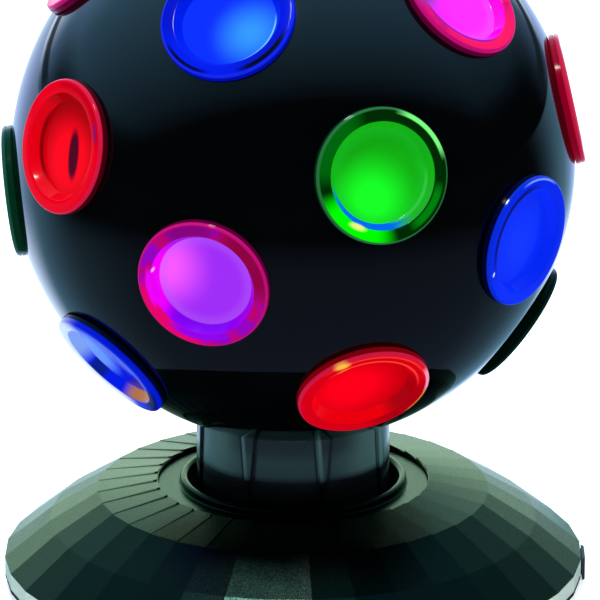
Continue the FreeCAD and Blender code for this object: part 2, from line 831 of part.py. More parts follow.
def lamp_filament():
    """Glass mount with two wires that hold the glowing coil."""
    foot = cap_top - cap_length / 2
    top = cap_top + mount_glass_height
    mount = rod(mount_glass_radius, foot, top)
    flare = rod(bulb_neck_radius - bulb_glass - mount_flare_clearance, foot, foot + bulb_glass)
    hold = ball_centre_height - filament_drop / 2
    wires = []
    for side in (-1, 1):
        start = FreeCAD.Vector(side * mount_glass_radius / 2, 0, top - filament_radius)
        end = FreeCAD.Vector(side * filament_spread, 0, hold)
        wires.append(Part.makeCylinder(filament_radius, (end - start).Length, start, end - start))
    coil = Part.makeCylinder(2 * filament_radius, 2 * filament_spread,
                             FreeCAD.Vector(-filament_spread, 0, hold), FreeCAD.Vector(1, 0, 0))
    return mount.fuse(wires + [coil, flare])


# Cord gland, clamp and terminal block
def gland_frame(shape):
    """Turns a shape drawn with +X outwards to the gland's azimuth."""
    return turned_to(shape, gland_angle - 90.0)


def gland_box(inside, outside, width, bottom, top):
    return Part.makeBox(outside - inside, width, top - bottom,
                        FreeCAD.Vector(inside, -width / 2, bottom))


def rim_inner_radius():
    return inner_kinks()[3][0]


def gland_notch():
    width = gland_neck_width + 2 * gland_clearance
    return gland_frame(gland_box(plate_spigot_radius, rim_radius + cut_overrun, width,
                                 rim_bottom - cut_overrun, gland_neck_top + gland_clearance))


def gland_bay():
    """Room for the gland's flange at the edge of the plate's raised part."""
    inside = rim_inner_radius() - 2 * gland_flange_thickness - gland_clearance
    width = gland_flange_width + 2 * gland_clearance
    return gland_frame(gland_box(inside, rim_radius, width, rim_bottom, plate_top + cut_overrun))


def cord_gland():
    inner = rim_inner_radius() - gland_clearance
    back = inner - gland_flange_thickness
    low = rim_bottom + gland_clearance / 2
    root = rim_radius + gland_clearance
    flange = gland_box(back, inner, gland_flange_width, low, gland_neck_top)
    rounding = rod(inner, low - cut_overrun, gland_neck_top + cut_overrun)
    neck = gland_box(back, root, gland_neck_width, low, gland_neck_top)
    mouth = gland_mouth(root)
    bore = Part.makeCylinder(gland_bore, 2 * rim_radius - 2 * back,
                             FreeCAD.Vector(back - cut_overrun, 0, gland_axis_height),
                             FreeCAD.Vector(1, 0, 0))
    return gland_frame(flange.common(rounding).fuse([neck, mouth]).cut(bore))


def gland_mouth(root):
    """The moulded block outside the rim."""
    tip = root + gland_reach
    half_root = gland_root_width / 2
    half_mouth = gland_mouth_width / 2
    return prism([(root, -half_root), (tip, -half_mouth), (tip, half_mouth), (root, half_root)],
                 foot_height, gland_mouth_top)


def clamp_places():
    places = []
    for side in (-1, 1):
        point = gland_frame(Part.Vertex(clamp_circle, side * clamp_screw_spacing / 2, 0))
        places.append(point.Point)
    return places


def cord_clamp():
    bottom = plate_top + clamp_post_height
    bar = Part.makeBox(clamp_width, clamp_length, clamp_thickness,
                       FreeCAD.Vector(clamp_circle - clamp_width / 2, -clamp_length / 2, bottom))
    saddle = Part.makeCylinder(clamp_saddle_radius, 2 * clamp_width,
                               FreeCAD.Vector(clamp_circle - clamp_width, 0, bottom - clamp_thickness / 2),
                               FreeCAD.Vector(1, 0, 0))
    bar = gland_frame(bar.cut(saddle))
    holes = [rod(screw_radius + screw_clearance, bottom - cut_overrun,
                 bottom + clamp_thickness + cut_overrun, place) for place in clamp_places()]
    return bar.cut(holes)


def clamp_screws():
    base = plate_top + clamp_post_height + clamp_thickness
    return group([screw(place, base, clamp_screw_length) for place in clamp_places()])


def block_place():
    return at(block_circle, block_angle, 0)


def block_ways_places():
    """Middle of each way of the terminal block, its own mounting hole left out."""
    across = FreeCAD.Vector(math.cos(math.radians(block_angle)), math.sin(math.radians(block_angle)), 0)
    pitch = block_length / block_ways
    first = -(block_ways - 1) / 2
    return [block_place() + across * (pitch * (first + step)) for step in range(block_ways)]


def terminal_block():
    body = Part.makeBox(block_length, block_width, block_height,
                        FreeCAD.Vector(-block_length / 2, -block_circle - block_width / 2, plate_top))
    body = turned_to(body, block_angle)
    outward = at(1, block_angle, 0)
    cuts = []
    for place in block_ways_places():
        cuts.append(rod(block_screw_radius + screw_clearance, plate_top + block_height - block_screw_depth,
                        plate_top + block_height + cut_overrun, place))
        start = place - outward * block_width + up * (plate_top + block_wire_rise)
        cuts.append(Part.makeCylinder(block_wire_radius, 2 * block_width, start, outward))
    return body.cut(cuts)


def terminal_screws():
    base = plate_top + block_height - block_screw_depth
    return group([rod(block_screw_radius, base, base + block_screw_depth / 2, place)
                  for place in block_ways_places()])


def lead(points):
    """A round lead along straight runs, mitred where they meet."""
    spine = Part.makePolygon(points)
    section = Part.Wire(Part.makeCircle(lead_radius, points[0], points[1] - points[0]))
    return spine.makePipeShell([section], True, True, 1)


def lamp_leads():
    """Two leads from the terminal block through the boss's slot and up the stem."""
    run = plate_top + lead_floor_gap + lead_radius
    outward = at(1, block_angle, 0)
    ways = block_ways_places()
    leads = []
    for side, way in ((-1, ways[0]), (1, ways[1])):
        offset = side * lead_spacing / 2
        start = way - outward * (block_width / 4) + up * (plate_top + block_wire_rise)
        turn = start - outward * block_width
        points = [start, turn, FreeCAD.Vector(2 * centre_boss_radius, offset, run),
                  FreeCAD.Vector(0, offset, run), FreeCAD.Vector(0, offset, lamp_bottom - lead_top_gap)]
        leads.append(lead(points))
    return group(leads)


# Screws inside the neck
def gear_screws():
    base = gear_underside + screw_head_height + head_clearance
    length = gear_top - base + short_screw_length
    return group([screw(at(neck_boss_circle, azimuth, 0), base, length, -1)
                  for azimuth in around(neck_boss_count, neck_rib_start_angle)])


def throat_screws():
    return group([screw(at(neck_boss_circle, azimuth, 0), throat_pad_top(), cover_screw_length)
                  for azimuth in around(neck_boss_count, neck_rib_start_angle)])


def all_nodes():
    nodes = {
        "base_cover": base_cover(),
        "collar_ring": collar_ring(),
        "bottom_plate": bottom_plate(),
        "rubber_feet": rubber_feet(),
        "cover_screws": cover_screws(),
        "centre_stem": centre_stem(),
        "stem_nuts": stem_nuts(),
        "bearing_bush": bearing_bush(),
        "retaining_washer": retaining_washer(),
        "motor_can": motor_can(),
        "motor_lid": motor_lid(),
        "motor_screws": motor_screws(),
        "motor_shaft": motor_shaft(),
        "drive_pinion": drive_pinion(),
        "drive_gear": drive_gear(),
        "gear_screws": gear_screws(),
        "neck_drum": neck_drum(),
        "throat_screws": throat_screws(),
        "ball_lower_shell": lower_shell(),
        "ball_upper_shell": upper_shell(),
        "lampholder_shell": lampholder_shell(),
        "lampholder_liner": lampholder_liner(),
        "lamp_cap": lamp_cap(),
        "lamp_bulb": lamp_bulb(),
        "lamp_filament": lamp_filament(),
        "cord_gland": cord_gland(),
        "cord_clamp": cord_clamp(),
        "clamp_screws": clamp_screws(),
        "terminal_block": terminal_block(),
        "terminal_screws": terminal_screws(),
        "lamp_leads": lamp_leads(),
    }
    cap = lens_cap()
    for name, azimuth, latitude in lens_places():
        nodes[name] = on_ball(cap, azimuth, latitude)
    return nodes


os.makedirs("parts", exist_ok=True)
for name, shape in all_nodes().items():
    shape.exportStep(f"parts/{name}.step")
    print(f"{name}: {len(shape.Solids)} solid(s), {shape.Volume:.0f} mm3")
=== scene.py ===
import bpy
import json
import math
from mathutils import Matrix, Vector

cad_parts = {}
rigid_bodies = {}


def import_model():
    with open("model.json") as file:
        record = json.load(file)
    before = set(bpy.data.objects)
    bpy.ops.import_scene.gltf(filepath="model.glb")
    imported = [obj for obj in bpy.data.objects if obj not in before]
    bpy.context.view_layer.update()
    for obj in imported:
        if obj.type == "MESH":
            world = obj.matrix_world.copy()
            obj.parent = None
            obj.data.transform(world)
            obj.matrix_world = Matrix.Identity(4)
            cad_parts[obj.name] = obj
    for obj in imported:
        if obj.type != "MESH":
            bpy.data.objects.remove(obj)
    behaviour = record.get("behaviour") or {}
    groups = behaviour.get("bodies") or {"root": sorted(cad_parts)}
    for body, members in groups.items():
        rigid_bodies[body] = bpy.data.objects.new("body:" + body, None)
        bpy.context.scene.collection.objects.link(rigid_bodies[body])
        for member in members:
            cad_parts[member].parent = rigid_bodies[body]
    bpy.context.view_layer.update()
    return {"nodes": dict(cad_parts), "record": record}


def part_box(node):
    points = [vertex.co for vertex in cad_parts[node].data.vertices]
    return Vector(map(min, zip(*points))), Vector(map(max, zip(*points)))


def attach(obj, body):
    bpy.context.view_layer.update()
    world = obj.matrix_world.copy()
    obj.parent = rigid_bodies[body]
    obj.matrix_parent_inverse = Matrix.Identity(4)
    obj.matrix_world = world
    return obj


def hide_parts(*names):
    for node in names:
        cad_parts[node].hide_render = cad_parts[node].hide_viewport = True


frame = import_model()
nodes = frame["nodes"]
slots = {entry["node"]: entry["material_slot"] for entry in frame["record"]["subparts"]}
print("frame loaded")

mm = 0.001
# the lower shell gives the ball its radius, and the pole's lens cap its centre
capFront = 100.75
lowerLow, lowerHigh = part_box("ball_lower_shell")
ballRadius = (lowerHigh.x - lowerLow.x) / 2
ballCentre = Vector((0, 0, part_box("lens_pole")[1].z - capFront * mm))

# camera, where the photograph was taken from
photoView = {"right": 2.48 * mm, "back": 1904.4 * mm, "up": 716.4 * mm, "dip": 17.79,
             "lens": 336.96, "sensor": 36, "reach": 100}
cameraData = bpy.data.cameras.new("photoCamera")
cameraData.lens = photoView["lens"]
cameraData.sensor_width = photoView["sensor"]
cameraData.clip_end = photoView["reach"]
camera = bpy.data.objects.new("photoCamera", cameraData)
camera.location = (photoView["right"], -photoView["back"], photoView["up"])
camera.rotation_euler = (math.radians(90 - photoView["dip"]), 0, 0)
bpy.context.scene.collection.objects.link(camera)
bpy.context.scene.camera = camera


# a socket that takes arithmetic: every operator adds its Math node
class Signal:
    def __init__(self, paint, socket):
        self.paint = paint
        self.socket = socket

    def math(self, operation, *others):
        return self.paint.node("ShaderNodeMath", {"operation": operation}, [self, *others])

    def __add__(self, other):
        return self.math("ADD", other)

    def __sub__(self, other):
        return self.math("SUBTRACT", other)

    def __rsub__(self, other):
        return self.paint.node("ShaderNodeMath", {"operation": "SUBTRACT"}, [other, self])

    def __mul__(self, other):
        return self.math("MULTIPLY", other)

    def __truediv__(self, other):
        return self.math("DIVIDE", other)

    def __pow__(self, other):
        return self.math("POWER", other)

    __radd__ = __add__
    __rmul__ = __mul__

    def least(self, other):
        return self.math("MINIMUM", other)

    def most(self, other):
        return self.math("MAXIMUM", other)

    def rise(self, start, end):
        # 0 before start, 1 beyond end, smooth between; start may be the larger
        wanted = {"interpolation_type": "SMOOTHSTEP", "clamp": True}
        ends = {"Value": self, "From Min": min(start, end), "From Max": max(start, end)}
        eased = self.paint.node("ShaderNodeMapRange", wanted, ends)
        return eased if start < end else 1 - eased

    def out(self, name):
        return Signal(self.paint, self.socket.node.outputs[name])


# the nodes of one material, or of the world
class Paint:
    def __init__(self, owner, outputKind="ShaderNodeOutputMaterial"):
        self.owner = owner
        owner.use_nodes = True
        self.tree = owner.node_tree
        self.tree.nodes.clear()
        self.output = self.tree.nodes.new(outputKind)

    def node(self, kind, settings=None, inputs=None):
        made = self.tree.nodes.new(kind)
        for name, value in (settings or {}).items():
            if name == "stops":
                ramp = made.color_ramp
                while len(ramp.elements) > 1:
                    ramp.elements.remove(ramp.elements[-1])
                for number, (place, colour) in enumerate(value):
                    stop = ramp.elements[0] if number == 0 else ramp.elements.new(place)
                    stop.position = place
                    stop.color = (*colour, 1)
            else:
                setattr(made, name, value)
        pairs = inputs.items() if isinstance(inputs, dict) else enumerate(inputs or [])
        for name, value in pairs:
            self.feed(made.inputs[name], value)
        return Signal(self, next((socket for socket in made.outputs if socket.enabled), None))

    def feed(self, socket, value):
        if isinstance(value, Signal):
            self.tree.links.new(value.socket, socket)
        elif socket.type == "RGBA" and len(value) == 3:
            socket.default_value = (*value, 1)
        else:
            socket.default_value = value

    def place(self):
        return self.node("ShaderNodeTexCoord").out("Object")

    def parts(self, vector):
        return self.node("ShaderNodeSeparateXYZ", None, [vector])

    def turned(self, right, front):
        # the angle round from the front, in radians
        return self.node("ShaderNodeMath", {"operation": "ARCTAN2"}, [right, front])

    def blend(self, share, first, second):
        mixed = self.node("ShaderNodeMix", {"data_type": "RGBA"})
        node = mixed.socket.node
        self.feed(node.inputs["Factor"], share)
        self.feed(node.inputs[6], first)
        self.feed(node.inputs[7], second)
        return Signal(self, node.outputs[2])

    def noise(self, place, scale, detail=2.0):
        wanted = {"Vector": place, "Scale": scale, "Detail": detail}
        return self.node("ShaderNodeTexNoise", None, wanted).out("Fac")

    def bump(self, height, strength, distance):
        wanted = {"Strength": strength, "Distance": distance, "Height": height}
        return self.node("ShaderNodeBump", None, wanted)

    def close(self, shader):
        self.tree.links.new(shader.socket, self.output.inputs["Surface"])
        return self.owner

    def surface(self, **inputs):
        wanted = {key.replace("_", " "): value for key, value in inputs.items()}
        return self.close(self.node("ShaderNodeBsdfPrincipled", None, wanted))


def newPaint(name):
    return Paint(bpy.data.materials.new(name))


# finishes
black = (0.0, 0.0, 0.0)


def glossBlack():
    paint = newPaint("glossBlack")
    place = paint.place()
    haze = paint.noise(place, 26.0, 3.0)
    ripple = paint.noise(place, 60.0, 1.0)
    return paint.surface(
        Base_Color=paint.blend(haze, (0.0005, 0.0007, 0.0009), (0.0012, 0.0015, 0.0018)),
        Roughness=0.03 + haze * 0.04,
        Normal=paint.bump(ripple, 0.25, 0.02 * mm),
    )


# where the base cover's finish changes: in mm, in degrees round from the front, or by parts of a normal
coverMarks = {
    "overRimFoot": (4.8, 5.1), "underRimTop": (10.9, 10.6),
    "overPleatFoot": (30, 32), "outsideMouth": (50, 50.6),
    "steep": (0.95, 0.9), "alongRing": (0.15, 0.09), "frontwards": (-30, 25),
    "stepsStart": (-28, -45), "stepsEnd": (-125, -95), "stepsBehind": 0.25,
    "lessRedStart": (4.2, 4.6), "lessRedEnd": (24.6, 24.2),
    "paintedHighlightStart": (-15.8, -15.4), "paintedHighlightEnd": (4.6, 4.2),
    "faintStart": (-25.8, -25.4), "faintEnd": (-15.4, -15.8), "faintShare": 0.35,
    "paintedHighlightFade": (36.5, 31), "paintedHighlightTop": (34.9, 34.5),
}


def satinBase():
    marks = coverMarks
    paint = newPaint("satinBase")
    place = paint.place()
    cloud = paint.noise(place, 18.0, 3.0)
    grain = paint.noise(place, 2600.0, 2.0)
    coarse = paint.noise(place, 900.0, 2.0)
    parts = paint.parts(place)
    right = parts.out("X") / mm
    front = 0 - parts.out("Y") / mm
    height = parts.out("Z") / mm
    reach = (right * right + front * front) ** 0.5
    azimuth = paint.turned(right, front) * (180 / math.pi)
    # the rim wall is painted pale, a painted reflection of the bright surroundings in its black plastic; the
    # paint stops short of its foot, leaving a dark band there
    rimReflection = height.rise(*marks["underRimTop"]) * height.rise(*marks["overRimFoot"])
    tiers = paint.blend(cloud, (0.005, 0.010, 0.008), (0.007, 0.014, 0.011))
    # the small steps between the pleats, which face along the ring, are painted greyer on the left and given
    # a painted glow there, paler towards the back: painted light standing in for light falling on them
    facing = paint.parts(paint.node("ShaderNodeNewGeometry").out("Normal"))
    outward = (facing.out("X") * right - facing.out("Y") * front) / reach
    step = facing.out("Z").rise(*marks["steep"]) * (outward * outward).rise(*marks["alongRing"])
    step = step * height.rise(*marks["overPleatFoot"]) * reach.rise(*marks["outsideMouth"])
    step = step * azimuth.rise(*marks["stepsStart"])
    stepLightTone = paint.blend(front.rise(*marks["frontwards"]), (0.28, 0.42, 0.30), (0.035, 0.08, 0.055))
    stepLightShare = marks["stepsBehind"] + azimuth.rise(*marks["stepsEnd"]) * (1 - marks["stepsBehind"])
    stepPaintedLight = paint.blend(step * stepLightShare, black, stepLightTone)
    tiers = paint.blend(step, tiers, (0.10, 0.13, 0.09))
    # two facets right of the middle are painted with less red, which damps the red reflection of a lens cap
    # on them
    green = azimuth.rise(*marks["lessRedStart"]) * azimuth.rise(*marks["lessRedEnd"])
    tiers = paint.blend(green, tiers, (0.001, 0.010, 0.009))
    # the three facets beside them get a grainy painted highlight on the middle tier, the last one only a
    # faint one, where a light from above the front catches their grain
    faint = azimuth.rise(*marks["faintStart"]) * azimuth.rise(*marks["faintEnd"]) * marks["faintShare"]
    paintedHighlight = (azimuth.rise(*marks["paintedHighlightStart"]) + faint) * azimuth.rise(*marks["paintedHighlightEnd"])
    paintedHighlight = paintedHighlight * height.rise(*marks["paintedHighlightFade"]) * height.rise(*marks["paintedHighlightTop"])
    paintedHighlight = paintedHighlight * (0.04 + (grain * 0.7 + coarse * 0.3).rise(0.42, 0.6) * 0.24)
    tiers = paint.blend(paintedHighlight, tiers, (0.010, 0.075, 0.072))
    return paint.surface(
        Base_Color=paint.blend(rimReflection, tiers, (0.70, 0.74, 0.60)),
        Metallic=(1 - rimReflection) * (1 - step) * (1 - paintedHighlight),
        Roughness=0.20 + cloud * 0.05 + grain * 0.08,
        Normal=paint.bump(grain * 0.6 + coarse * 0.4, 0.6, 0.07 * mm),
        Specular_Tint=(0.86, 1.0, 0.73, 1.0),
        Emission_Color=stepPaintedLight,
        Emission_Strength=1.0,
    )


def plainFinish(name, dark, light, roughness, scale=40.0, metal=0.0, bumpHeight=0.03):
    paint = newPaint(name)
    place = paint.place()
    cloud = paint.noise(place, scale, 3.0)
    grain = paint.noise(place, scale * 30, 2.0)
    return paint.surface(
        Base_Color=paint.blend(cloud, dark, light),
        Roughness=roughness + cloud * 0.08,
        Metallic=metal,
        Normal=paint.bump(grain, 0.2, bumpHeight * mm),
    )


def clearGlass():
    paint = newPaint("clearGlass")
    place = paint.place()
    haze = paint.noise(place, 30.0, 2.0)
    return paint.surface(
        Base_Color=(0.95, 0.95, 0.95),
        Roughness=0.02 + haze * 0.03,
        Alpha=0.25 + haze * 0.05,
    )


# each lens cap looks into the lit ball, so its window, wall and flange are painted with their own light and
# shade, which the cap gives off as a glow
lensForm = {
    "radius": 23.3, "thickness": 3.4, "seat": 97.35, "groove": 0.35, "grooveHalf": 0.3, "layer": 1.8,
    "dish": 18.6, "floor": 16.3, "depth": 3.8, "window": 1.5, "plug": 17.8, "segments": 128,
    "chamfer": 0.4, "edge": 0.2, "grooveFlat": 0.12, "frontInset": 1.1, "frontDrop": 0.9, "frontRound": 1.0,
    "dishRound": 0.35,
}
# where a cap's painted zones meet: the first row in mm, the second in shares of the window's radius
lensMarks = {
    "wallFoot": (0.05, 0.25), "lip": 0.55, "side": 0.9, "sideSoft": 0.6,
    "windowEdge": (0.72, 0.98), "wallSoft": 0.02, "lipSoft": 0.03, "sideStart": (1.33, 1.37),
}
# a look's colours are painted light and shade: its lights are (angle, spread, colour), its arcs (radius,
# width, angle, spread, colour) and its patches (across, upward, long half, short half, turn, softness,
# colour)


def lensPlace(azimuth, latitude):
    tilt = Matrix.Rotation(math.radians(90 - latitude), 4, "X")
    turn = Matrix.Rotation(math.radians(azimuth), 4, "Z")
    return Matrix.Translation(ballCentre) @ turn @ tilt


def lensFinish(name, azimuth, latitude, look):
    marks = lensMarks
    paint = newPaint(name)
    matrix = lensPlace(azimuth, latitude)
    local = paint.node("ShaderNodeMapping", {"vector_type": "TEXTURE"},
                       {"Vector": paint.place(), "Location": matrix.to_translation(),
                        "Rotation": matrix.to_euler()})
    parts = paint.parts(local)
    floor = lensForm["floor"]
    across = parts.out("X") / (floor * mm)
    upward = parts.out("Y") / (floor * mm)
    height = parts.out("Z") / mm
    outward = (across * across + upward * upward) ** 0.5
    front = lensForm["seat"] + lensForm["thickness"]

    def towards(angle, spread):
        # 1 in the direction of that angle, 0 beyond the spread to either side
        turn = math.radians(angle)
        aim = (across * math.cos(turn) + upward * math.sin(turn)) / outward.most(0.01)
        return aim.rise(math.cos(math.radians(spread)), math.cos(math.radians(spread * 0.4)))

    def patch(x, y, long, short, turn, soft):
        # an oval, its long half-axis turned from the lens cap's right
        turn = math.radians(turn)
        offX = across - x
        offY = upward - y
        along = (offX * math.cos(turn) + offY * math.sin(turn)) / long
        beside = (offY * math.cos(turn) - offX * math.sin(turn)) / short
        return ((along * along + beside * beside) ** 0.5).rise(1 + soft, 1 - soft)

    # the window: a glow that fades to its edge
    glowX, glowY, glowInner, glowOuter = look["glow"]
    offX = across - glowX
    offY = upward - glowY
    glowDistance = (offX * offX + offY * offY) ** 0.5
    window = paint.blend(glowDistance.rise(glowOuter, glowInner), look["dim"], look["bright"])
    # a painted band of its own tone along the window's edge
    edgeShare = outward.rise(*marks["windowEdge"]) * look.get("edge", 0.2)
    window = paint.blend(edgeShare, window, look.get("edgeColour", look["bright"]))
    # the sloping wall and the flange, each with its own lights
    wall = look["wall"]
    for angle, spread, colour in look.get("wallLights", []):
        wall = paint.blend(towards(angle, spread), wall, colour)
    flange = look["flange"]
    if "blotch" in look:
        cloud = paint.noise(paint.place(), 130.0, 2.0)
        flange = paint.blend(cloud.rise(0.45, 0.6), flange, look["blotch"])
    for angle, spread, colour in look.get("flangeLights", []):
        flange = paint.blend(towards(angle, spread), flange, colour)
    lipShare = (lensForm["radius"] - marks["lip"]) / floor
    lip = look["lip"]
    for angle, spread, colour in look.get("lipLights", []):
        lip = paint.blend(towards(angle, spread), lip, colour)
    flange = paint.blend(outward.rise(lipShare - marks["lipSoft"], lipShare), flange, lip)
    # joined by depth and radius
    wallLow, wallHigh = marks["wallFoot"]
    depthShare = height.rise(front - lensForm["depth"] + wallLow, front - lensForm["depth"] + wallHigh)
    dishShare = lensForm["dish"] / floor
    onWall = outward.rise(dishShare, dishShare - marks["wallSoft"])
    colour = paint.blend(onWall, flange, paint.blend(depthShare, window, wall))
    # painted highlight lines and glints, and painted dark lines and spots: the arcs and patches
    for radius, width, angle, spread, tone in look.get("arcs", []):
        ringShare = ((outward - radius) * (outward - radius)).rise(width * width, 0.2 * width * width)
        colour = paint.blend(ringShare * towards(angle, spread), colour, tone)
    for x, y, long, short, turn, soft, tone in look.get("patches", []):
        colour = paint.blend(patch(x, y, long, short, turn, soft), colour, tone)
    # the cap's side is painted in shade
    sideTop = front - look.get("sideDrop", marks["side"])
    side = height.rise(sideTop, sideTop - marks["sideSoft"]) * outward.rise(*marks["sideStart"])
    colour = paint.blend(side, colour, look["side"])
    # the cap gives off its painted colours as a glow, standing in for the bulb's light shining through it;
    # its base colour is a quarter of them
    return paint.surface(
        Base_Color=paint.blend(0.75, colour, black),
        Roughness=0.08 + paint.noise(paint.place(), 120.0) * 0.06,
        Emission_Color=colour,
        Emission_Strength=0.82,
        Specular_IOR_Level=0.08,
    )


# modelling helpers
def only(piece):
    for other in bpy.context.view_layer.objects:
        other.select_set(False)
    piece.select_set(True)
    bpy.context.view_layer.objects.active = piece


def finished(piece, name, material, body, slotName, *replaced, angle=30):
    piece.name = name
    piece.data.name = name
    only(piece)
    bpy.ops.object.transform_apply(location=True, rotation=True, scale=True)
    piece.data.materials.clear()
    piece.data.materials.append(material)
    bpy.ops.object.shade_smooth_by_angle(angle=math.radians(angle))
    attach(piece, body)
    if replaced:
        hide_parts(*replaced)
    return piece


def ringWalk(rings, segments, hollow):
    # a circle taken from ring to ring; hollow pieces are bridged shut at the end
    radius, height = rings[0]
    bpy.ops.object.select_all(action="DESELECT")
    bpy.ops.mesh.primitive_circle_add(vertices=segments, radius=radius * mm, location=(0, 0, height * mm),
                                      fill_type="NOTHING" if hollow else "NGON")
    piece = bpy.context.active_object
    bpy.ops.object.mode_set(mode="EDIT")
    bpy.ops.mesh.select_all(action="SELECT")
    for newRadius, newHeight in rings[1:]:
        bpy.ops.mesh.extrude_region_move(TRANSFORM_OT_translate={"value": (0, 0, (newHeight - height) * mm)})
        share = newRadius / radius
        bpy.ops.transform.resize(value=(share, share, 1), center_override=(0, 0, newHeight * mm))
        radius, height = newRadius, newHeight
    if hollow:
        bpy.ops.mesh.select_all(action="DESELECT")
        bpy.ops.mesh.select_non_manifold()
        bpy.ops.mesh.bridge_edge_loops()
    bpy.ops.mesh.select_all(action="SELECT")
    bpy.ops.mesh.normals_make_consistent(inside=False)
    bpy.ops.object.mode_set(mode="OBJECT")
    bpy.ops.object.transform_apply(location=True, rotation=True, scale=True)
    return piece


def copied(model, matrix):
    only(model)
    bpy.ops.object.duplicate()
    piece = bpy.context.active_object
    piece.matrix_world = matrix
    return piece


def arc(centreRadius, centreHeight, size, start, end, steps):
    # ring places along a rounding, angles in degrees from straight out
    places = []
    for step in range(steps + 1):
        turn = math.radians(start + (end - start) * step / steps)
        places.append((centreRadius + size * math.cos(turn), centreHeight + size * math.sin(turn)))
    return places


# floor and backdrop
# what glossy pieces see of the floor, from the front round to straight behind
floorTones = [
    (0.0, (0.045, 0.062, 0.105)), (0.25, (0.04, 0.06, 0.095)), (0.5, (0.065, 0.135, 0.19)),
    (0.75, (0.125, 0.28, 0.41)), (0.93, (0.4, 0.54, 0.93)), (1.0, (0.42, 0.56, 0.7)),
]
# far and near are in mm from the ball's axis, size and whiter in m, sideways and behind in parts of along
floorForm = {"size": 12, "drop": 0.2 * mm, "far": (280, 650), "near": (520, 300),
             "sideways": (0.72, 0.5), "behind": (0.72, 0.88), "whiter": (0.7, 1.6)}


def studio():
    form = floorForm
    bpy.ops.object.select_all(action="DESELECT")
    bpy.ops.mesh.primitive_plane_add(size=form["size"], location=(0, 0, -form["drop"]))
    floor = bpy.context.active_object
    floor.name = "studioFloor"
    paint = newPaint("studioFloor")
    rays = paint.node("ShaderNodeLightPath")
    parts = paint.parts(paint.place())
    right = parts.out("X")
    back = parts.out("Y")
    reach = ((right * right + back * back) ** 0.5).most(mm)
    reachMm = reach / mm
    # 0 in front of the light, 1 behind it, a little less on the right
    along = (back - right.most(0.0) * 0.3) / reach * 0.5 + 0.5
    tone = paint.node("ShaderNodeValToRGB", {"stops": floorTones}, [along])
    # nearly black far out at the front and sides, pale blue close behind the base
    far = reachMm.rise(*form["far"]) * along.rise(*form["sideways"])
    tone = paint.blend(far, tone, (0.003, 0.004, 0.006))
    near = reachMm.rise(*form["near"]) * along.rise(*form["behind"])
    tone = paint.blend(near, tone, (0.58, 0.74, 1.0))
    mirrored = paint.node("ShaderNodeEmission", None, {"Color": tone, "Strength": 2.0})
    lit = paint.node("ShaderNodeBsdfDiffuse", None, {"Color": (0.8, 0.8, 0.8)})
    # whiter far off, where the lamps hardly reach
    tint = paint.blend(reach.rise(*form["whiter"]), (0.62, 0.62, 0.62), (1.1, 1.1, 1.1))
    white = paint.node("ShaderNodeEmission", None, {"Color": tint, "Strength": 1.0})
    cameraLook = paint.node("ShaderNodeAddShader", None, [white, lit])
    mixed = paint.node("ShaderNodeMixShader", None, [rays.out("Is Camera Ray"), lit, cameraLook])
    mixed = paint.node("ShaderNodeMixShader", None, [rays.out("Is Glossy Ray"), mixed, mirrored])
    floor.data.materials.append(paint.close(mixed))


# marks on the sky in parts of a ray's direction, squared for horizon and lineWidth; top limits its light
skyForm = {"top": 1.15, "horizon": (0.09, 0.004), "sides": (0.9, 0.45), "bluer": (0.45, 0.8),
           "backdropSides": (0.74, 0.95), "backdropTop": (0.52, 0.28),
           "lineHeight": 0.03, "lineWidth": (0.0013, 0.0003), "lineSides": (0.6, 0.72), "lineShare": 0.92}


def sky():
    form = skyForm
    world = bpy.data.worlds.new("studioSky")
    bpy.context.scene.world = world
    paint = Paint(world, "ShaderNodeOutputWorld")
    parts = paint.parts(paint.node("ShaderNodeTexCoord").out("Generated"))
    right = parts.out("X")
    back = parts.out("Y")
    high = parts.out("Z")
    # bright overhead and behind, dark in front and along the horizon to both sides
    level = high + back * 0.8 - right * 0.15 - right.most(0.0) * back.most(0.0) * 0.7
    level = level.most(0.0).least(form["top"])
    band = (high * high).rise(*form["horizon"]) * back.rise(*form["sides"])
    level = level * (1 - band)
    colour = paint.blend(back.rise(*form["bluer"]), (0.3, 0.75, 1.15), (0.5, 0.95, 1.6))
    around = paint.node("ShaderNodeVectorMath", {"operation": "SCALE"}, {"Vector": colour, "Scale": level})
    # the bright backdrop low down behind, less of it on the right
    backdrop = (back - right.most(0.0) * 0.2).rise(*form["backdropSides"]) * high.rise(*form["backdropTop"])
    around = paint.blend(backdrop, around, (1.95, 2.35, 2.9))
    # a thin dark line where the backdrop meets the table
    offLine = high - form["lineHeight"]
    line = (offLine * offLine).rise(*form["lineWidth"]) * back.rise(*form["lineSides"])
    around = paint.blend(line * form["lineShare"], around, (0.03, 0.05, 0.07))
    lit = paint.node("ShaderNodeBackground", None, {"Color": around, "Strength": 1.0})
    seen = paint.node("ShaderNodeBackground", None, {"Color": (1, 1, 1), "Strength": 1.0})
    rays = paint.node("ShaderNodeLightPath")
    paint.close(paint.node("ShaderNodeMixShader", None, [rays.out("Is Camera Ray"), lit, seen]))


def lamp(name, place, size, power, colour=(1, 1, 1), mirrored=False):
    data = bpy.data.lights.new(name, "AREA")
    data.shape = "RECTANGLE"
    data.size, data.size_y = size
    data.energy = power
    data.color = colour
    light = bpy.data.objects.new(name, data)
    light.location = place
    light.visible_glossy = mirrored
    light.rotation_euler = (ballCentre - Vector(place)).to_track_quat("-Z", "Y").to_euler()
    bpy.context.scene.collection.objects.link(light)


